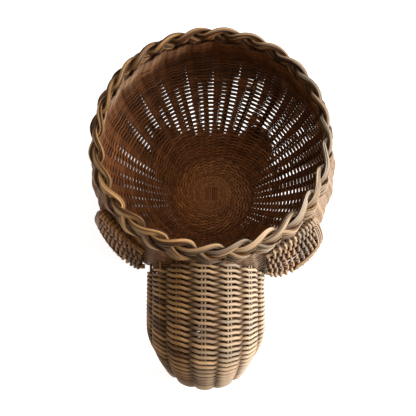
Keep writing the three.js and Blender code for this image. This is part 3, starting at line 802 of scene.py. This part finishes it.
def coil(node, reed, material, seed):
    """Flat spiral of one thick reed that fills a round node."""
    low, high = (np.array(corner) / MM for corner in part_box(node))
    x, y, z = (low + high) / 2
    edge = (high[0] - low[0]) / 2 - reed
    start = reed * 0.6
    turns = (edge - start) / (2 * reed)
    t = np.linspace(0, 1, int(turns * 30))
    angle = 2 * np.pi * turns * t
    radius = start + (edge - start) * t
    line = np.stack([x + radius * np.cos(angle), y + radius * np.sin(angle), z + 0 * t], -1)
    face = np.broadcast_to([0.0, 0.0, 1.0], line.shape)
    size = reed * np.interp(t, [0, 0.98, 1], [1, 1, 0.5])
    wound = reeds(line[None], face[None], size[None], sides=8)
    reed_piece(node + "_coil", [wound], [node], material, seed)


coil("trunk_tip", 2.0, golden_reed, 51)


# Ears: a fan on each side. A rod frames it, ribs cross it, and one thin weaver runs up and down over the
# ribs and loops round the rod at every turn.

ear_reed = reed_paint(
    "ear reed", (0.095, 0.034, 0.010, 1), (0.50, 0.235, 0.08, 1),
    roughness=0.5, grime_and_shade_strength=0.9, bleach_and_light=0.5, spread=1.2,
)

ear_length = 64.0
ear_levels = 5
ear_weaver = 1.5
ear_rib = 1.1
ear_rod = 2.75
ear_pitch = 2.6
ear_depth = 54.0
ear_seat = 4.4
ear_stand_off = 0.6 + ear_rod
band_reed = 1.3
band_pitch = 2.3
band_rows = 4
band_from = 2.2
band_lift = 3.4
rod_reed = 1.35
rod_out = 3.0
rod_twist = 1.4
ear_top_corners = [(0, 0), (ear_length * 0.4, -3), (ear_length * 0.85, -3), (ear_length, 8)]
ear_low_corners = [
    (0, 26), (ear_length * 0.2, ear_depth), (ear_length * 0.85, ear_depth + 10), (ear_length, 44),
]


def ear(name, side, start, drop, flare, seed):
    """An ear from its start angle beside the head, its drop below the rim and how far its lower edge flares.
    The weaver's q counts ribs: out = reach * cos(pi q) as it runs up and down, a pitch further each pass."""
    top_edge = top_height - drop
    seat = outer_radius(top_edge, ear_seat)

    def hang(along, down):
        """Point on the ear's middle, along from its neck and down from its top edge, and the way it faces."""
        height = top_edge - down
        wall = outer_radius(np.maximum(height, belly_height), ear_seat)
        radius = wall + ear_stand_off + flare * (down / ear_depth) ** 2
        angle = start + along / seat
        face = np.stack([side * np.sin(angle), -np.cos(angle), 0 * angle], -1)
        return [axis_x, axis_y, 0] + radius[..., None] * face + height[..., None] * np.array([0, 0, 1]), face

    def place(along, share):
        t = np.clip(along / ear_length, 0, 1)
        top, low = bezier(ear_top_corners, t), bezier(ear_low_corners, t)
        spot = top + (low - top) * share[..., None]
        return hang(spot[..., 0], spot[..., 1])[0]

    passes = int((ear_length - 2) / ear_pitch)
    unit_steps = 7
    per_pass = ear_levels + 1
    q = np.arange(passes * per_pass * unit_steps) / unit_steps
    number = np.floor(q / per_pass)
    within = q - number * per_pass
    going = np.minimum(within, ear_levels)
    turning = np.maximum(within - ear_levels, 0)
    level = np.where(number % 2 == 0, going, ear_levels - going)
    down = np.where(number % 2 == 0, 1.0, -1.0)
    along = 1.5 + ear_pitch * (number + within / per_pass)
    share = level / ear_levels
    t = np.clip(along / ear_length, 0, 1)
    depth = np.linalg.norm(bezier(ear_low_corners, t) - bezier(ear_top_corners, t), axis=-1)
    bulge = (ear_rod + ear_weaver) * np.sin(np.pi * turning) / depth
    margin = (ear_rod + 0.3) / depth
    share = -margin + share * (1 + 2 * margin) + down * bulge
    reach = np.where((level < 0.6) | (level > ear_levels - 0.6), ear_rod + ear_weaver, ear_rib + ear_weaver)
    out = reach * np.cos(np.pi * q)
    line, face = off_face(place, along[None], share[None], smoothed(out[:, None], 2)[:, 0][None], side)
    weaver = reeds(smoothed(line, 1), face, ear_weaver, out[None], sides=6, reach=ear_rib + 2 * ear_weaver)
    # The weaver's loops round the rod get a high crest, so they carry less crevice grime and painted shade
    # and more of the pale painted light.
    loop = np.sin(np.pi * np.clip(turning + 0.15 * (turning > 0), 0, 1)) ** 0.5
    weaver["crest"] = np.maximum(0.1 + 0.8 * np.abs(weaver["crest"]), 0.9 * loop[None, :, None])
    rib_at = np.linspace(0, ear_length, 40)
    ribs = np.arange(1, ear_levels)[:, None] / ear_levels
    rib_line, rib_face = off_face(place, rib_at + 0 * ribs, ribs + 0 * rib_at, 0.0, side)
    rib_group = reeds(rib_line, rib_face, ear_rib, reach=ear_rib * 3)
    nodes = [f"ear_{name}_weave"]
    reed_piece(f"ear_{name}_reeds", [weaver, rib_group], nodes, ear_reed, seed, reed_length=400)

    # The rod is three reeds laid as a rope round the whole edge. Four more lie side by side round its back
    # end and along its lower edge.
    edge_t = np.linspace(0, 1, 60)
    edge = np.concatenate([bezier(ear_top_corners, edge_t), bezier(ear_low_corners, edge_t[::-1])])
    away = unit(np.gradient(smoothed(edge, 8), axis=0))
    away = np.stack([away[:, 1], -away[:, 0]], -1)
    inset = np.arange(band_rows)[:, None, None] * -band_pitch + band_from
    band_edge = smoothed((edge + inset * away)[:, 50:96], 12)
    band_line, band_face = hang(band_edge[..., 0], band_edge[..., 1])
    band_line = band_line + band_face * band_lift
    taper = np.sin(np.linspace(0.35, np.pi - 0.35, band_edge.shape[1])) ** 0.3
    bands = reeds(band_line, band_face, band_reed * taper, reach=band_reed)
    edge = smoothed(edge + rod_out * away, 10)
    rod_line, rod_face = hang(edge[:, 0], edge[:, 1])
    across = unit(np.cross(rod_face, np.gradient(rod_line, axis=0)))
    twist = np.arange(len(edge)) / 9 + 2 * np.pi * np.arange(3)[:, None] / 3
    offset = across * np.cos(twist)[..., None] + rod_face * np.sin(twist)[..., None]
    rod_faces = np.broadcast_to(rod_face, offset.shape)
    rods = reeds(rod_line + rod_twist * offset, rod_faces, rod_reed, reach=2.6)
    # The rope rods are kept light: little crevice grime or painted shade on them.
    rods["crest"] = np.maximum(rods["crest"], 0.7)
    reed_piece(f"ear_{name}_rod_reeds", [rods, bands], [f"ear_{name}_rod"], ear_reed, seed + 1)


ear("left", -1, np.radians(32.5), 17.5, 0.0, 61)
ear("right", 1, np.radians(25), 7.5, 6.0, 63)


# Legs: four short twined tubes on eight stake pairs, worked onto the underside of the bowl, each closed by
# a coiled sole.

leg_stakes = 8
leg_weaver = 1.3
leg_stake = 1.1
leg_stake_gap = 1.5
leg_pitch = 4.7
leg_foot = 22.2
leg_top = 24.2
sole_top = 5.3
sole_reed = 2.5
leg_limit = 104.0


def leg(end, name, seed):
    """A tube of rows on stake pairs. It widens evenly from its sole to the height of the bowl's floor, and
    ends where it meets the bowl."""
    sole_lo, sole_hi = (np.array(corner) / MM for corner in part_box(f"leg_{end}_{name}_sole"))
    centre = (sole_lo + sole_hi) / 2
    away = np.arctan2(centre[1] - axis_y, centre[0] - axis_x)

    def place(height, turn):
        radius = np.interp(height, [sole_top, base_height], [leg_foot, leg_top]) - leg_stake - 2 * leg_weaver
        angle = away + turn
        return np.stack([centre[0] + radius * np.cos(angle), centre[1] + radius * np.sin(angle), height], -1)

    def free(point):
        reach = np.hypot(point[..., 0] - axis_x, point[..., 1] - axis_y)
        floor = base_height - 3.8
        return (point[..., 2] < floor) | (reach > outer_radius(point[..., 2], 4.0))

    rows = np.arange(sole_top + 1.9, leg_limit, leg_pitch)
    groups = twined_rows(place, rows, leg_stakes, 0.0, leg_weaver, leg_stake, free, sign=-1.0)
    turns = 2 * np.pi * np.arange(leg_stakes) / leg_stakes
    heights = np.linspace(40, leg_limit, 200)
    inside = ~free(place(heights[None] + 0 * turns[:, None], turns[:, None] + 0 * heights[None]))
    tops = np.where(inside.any(axis=1), heights[np.argmax(inside, axis=1)], leg_limit)
    foot = np.full(leg_stakes, sole_top + 0.3)
    groups.append(stake_pairs(place, turns, foot, tops - 0.5, leg_stake_gap, leg_stake, -1.0))
    nodes = [f"leg_{end}_{name}_weave"]
    reed_piece(f"leg_{end}_{name}_reeds", groups, nodes, brown_reed, seed, reed_length=900)
    coil(f"leg_{end}_{name}_sole", sole_reed, golden_reed, seed + 1)


leg("front", "left", 71)
leg("front", "right", 73)
leg("back", "left", 75)
leg("back", "right", 77)


# Tail: three strands of two thin reeds each, plaited down the back between two stakes and tied off above
# a loose tuft of their ends.

tail_lo, tail_hi = (np.array(corner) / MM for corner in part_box("tail_plait"))
tuft_lo, tuft_hi = (np.array(corner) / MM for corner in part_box("tail_tuft"))
tail_middle = (tail_lo + tail_hi) / 2
tail_angle = np.arctan2(tail_middle[1] - axis_y, tail_middle[0] - axis_x)
tail_reed = 0.95
tail_turns = 6.5
tail_stand_off = 2.6
tail_end_share = 6 / 9
tail_swing = 2.9
tail_depth = 1.35
tail_pair_half = 0.75
tail_t = np.linspace(0, 1, 120)
tail_height = tail_hi[2] + (tail_lo[2] - tail_hi[2]) * tail_t
tail_out = outer_radius(np.maximum(tail_height, belly_height), half_wall) + tail_stand_off
tail_size = 1 + (tail_end_share - 1) * tail_t
tail_face = np.array([np.cos(tail_angle), np.sin(tail_angle), 0.0])
tail_side = np.array([-np.sin(tail_angle), np.cos(tail_angle), 0.0])
swing_turn = 2 * np.pi * (tail_turns * tail_t + np.arange(3)[:, None] / 3)
tail_line = np.array([axis_x, axis_y, 0]) + tail_out[:, None] * tail_face + tail_height[:, None] * [0, 0, 1]
aside = tail_swing * np.sin(swing_turn) * tail_size
out = tail_depth * np.sin(2 * swing_turn) * tail_size
tail_lines = tail_line + aside[..., None] * tail_side + out[..., None] * tail_face
faces = np.broadcast_to(tail_face, tail_lines.shape)
groups = [
    reeds(tail_lines + shift * tail_side, faces, tail_reed * tail_size, out, reach=2.3)
    for shift in (-tail_pair_half, tail_pair_half)
]
reed_piece("tail_reeds", groups, ["tail_plait"], golden_reed, 81)

tuft_rng = np.random.default_rng(5)
tuft_middle = (tuft_lo + tuft_hi) / 2
tuft_count = 26
tuft_reed = 0.6
tuft_t = np.linspace(0, 1, 16)
spread_angle = tuft_rng.uniform(0, 2 * np.pi, (tuft_count, 1))
spread_to = tuft_rng.uniform(0.5, 5.2, (tuft_count, 1))
tuft_long = tuft_rng.uniform(0.75, 1.0, (tuft_count, 1)) * (tuft_hi[2] - tuft_lo[2] - 1)
spread = 1.9 * np.sqrt(tuft_rng.random((tuft_count, 1))) * (1 - tuft_t) + spread_to * tuft_t**1.5
tuft_lines = np.stack([
    tuft_middle[0] + spread * np.cos(spread_angle),
    tuft_middle[1] + spread * np.sin(spread_angle),
    tuft_hi[2] + 1.5 - tuft_long * tuft_t,
], -1)
faces = np.broadcast_to(tail_face, tuft_lines.shape)
tuft_size = np.broadcast_to(tuft_reed * (1 - 0.5 * tuft_t), tuft_lines.shape[:2])
groups = [reeds(tuft_lines, faces, tuft_size)]
tie_radius = 3.0
tie_rounds = 4
tie_pitch = 1.1
tie_turn = np.linspace(0, 2 * np.pi * tie_rounds, 100)
tie_line = np.stack([
    tuft_middle[0] + tie_radius * np.cos(tie_turn), tuft_middle[1] + tie_radius * np.sin(tie_turn),
    tuft_hi[2] + 0.5 - tie_pitch * tie_turn / (2 * np.pi),
], -1)[None]
groups.append(reeds(tie_line, np.broadcast_to([0.0, 0.0, 1.0], tie_line.shape), tuft_reed))
reed_piece("tail_tuft_reeds", groups, ["tail_tuft"], pale_reed, 83)


# Setting: a plain pale floor under a wide soft sky, one large window to the right and a weak light
# overhead. The camera looks down into the bowl from above the front.

floor_paint = Paint("floor")
floor_paint.set(Base_Color=(0.5, 0.5, 0.5, 1), Roughness=0.9)
floor_paint.set(Emission_Color=(1, 1, 1, 1), Emission_Strength=0.85)
floor_edge = 240
floor_corners = [(x * floor_edge, y * floor_edge, 0) for x, y in ((-1, -1), (1, -1), (1, 1), (-1, 1))]
floor_mesh = bpy.data.meshes.new("floor")
floor_mesh.from_pydata(floor_corners, [], [(0, 1, 2, 3)])
floor_mesh.materials.append(floor_paint.material)
floor = bpy.data.objects.new("floor", floor_mesh)
bpy.context.scene.collection.objects.link(floor)


def soft_light(name, place, aim, size, power, colour):
    """A lit rectangle at a place, turned towards the point that it aims at."""
    light = bpy.data.lights.new(name, "AREA")
    light.shape = "RECTANGLE"
    light.size, light.size_y = size
    light.energy = power
    light.color = colour
    lamp = bpy.data.objects.new(name, light)
    lamp.location = place
    away = np.array(aim, float) - np.array(place, float)
    tilt = np.arccos(-away[2] / np.linalg.norm(away))
    lamp.rotation_euler = (tilt, 0, np.arctan2(away[1], away[0]) - np.pi / 2)
    bpy.context.scene.collection.objects.link(lamp)


bowl_y = axis_y * MM
soft_light("window", (1.5, bowl_y - 0.1, 0.95), (0, bowl_y - 0.1, 0.15), (0.8, 0.8), 46, (1.0, 0.97, 0.93))
soft_light("overhead", (0.25, bowl_y - 0.1, 1.8), (0, bowl_y, 0.1), (0.9, 0.9), 7, (1.0, 0.95, 0.88))

world = bpy.data.worlds.new("sky")
world.use_nodes = True
world.node_tree.nodes["Background"].inputs["Color"].default_value = (1.0, 0.98, 0.95, 1)
world.node_tree.nodes["Background"].inputs["Strength"].default_value = 0.27
bpy.context.scene.world = world
bpy.context.scene.view_settings.view_transform = "Standard"

camera_data = bpy.data.cameras.new("camera")
camera_data.sensor_width = 36
camera_data.lens = 69.23
camera = bpy.data.objects.new("camera", camera_data)
camera.location = (-0.004, bowl_y - 0.298, 1.006)
camera.rotation_euler = (np.radians(16.4), 0, 0)
bpy.context.scene.collection.objects.link(camera)
bpy.context.scene.camera = camera
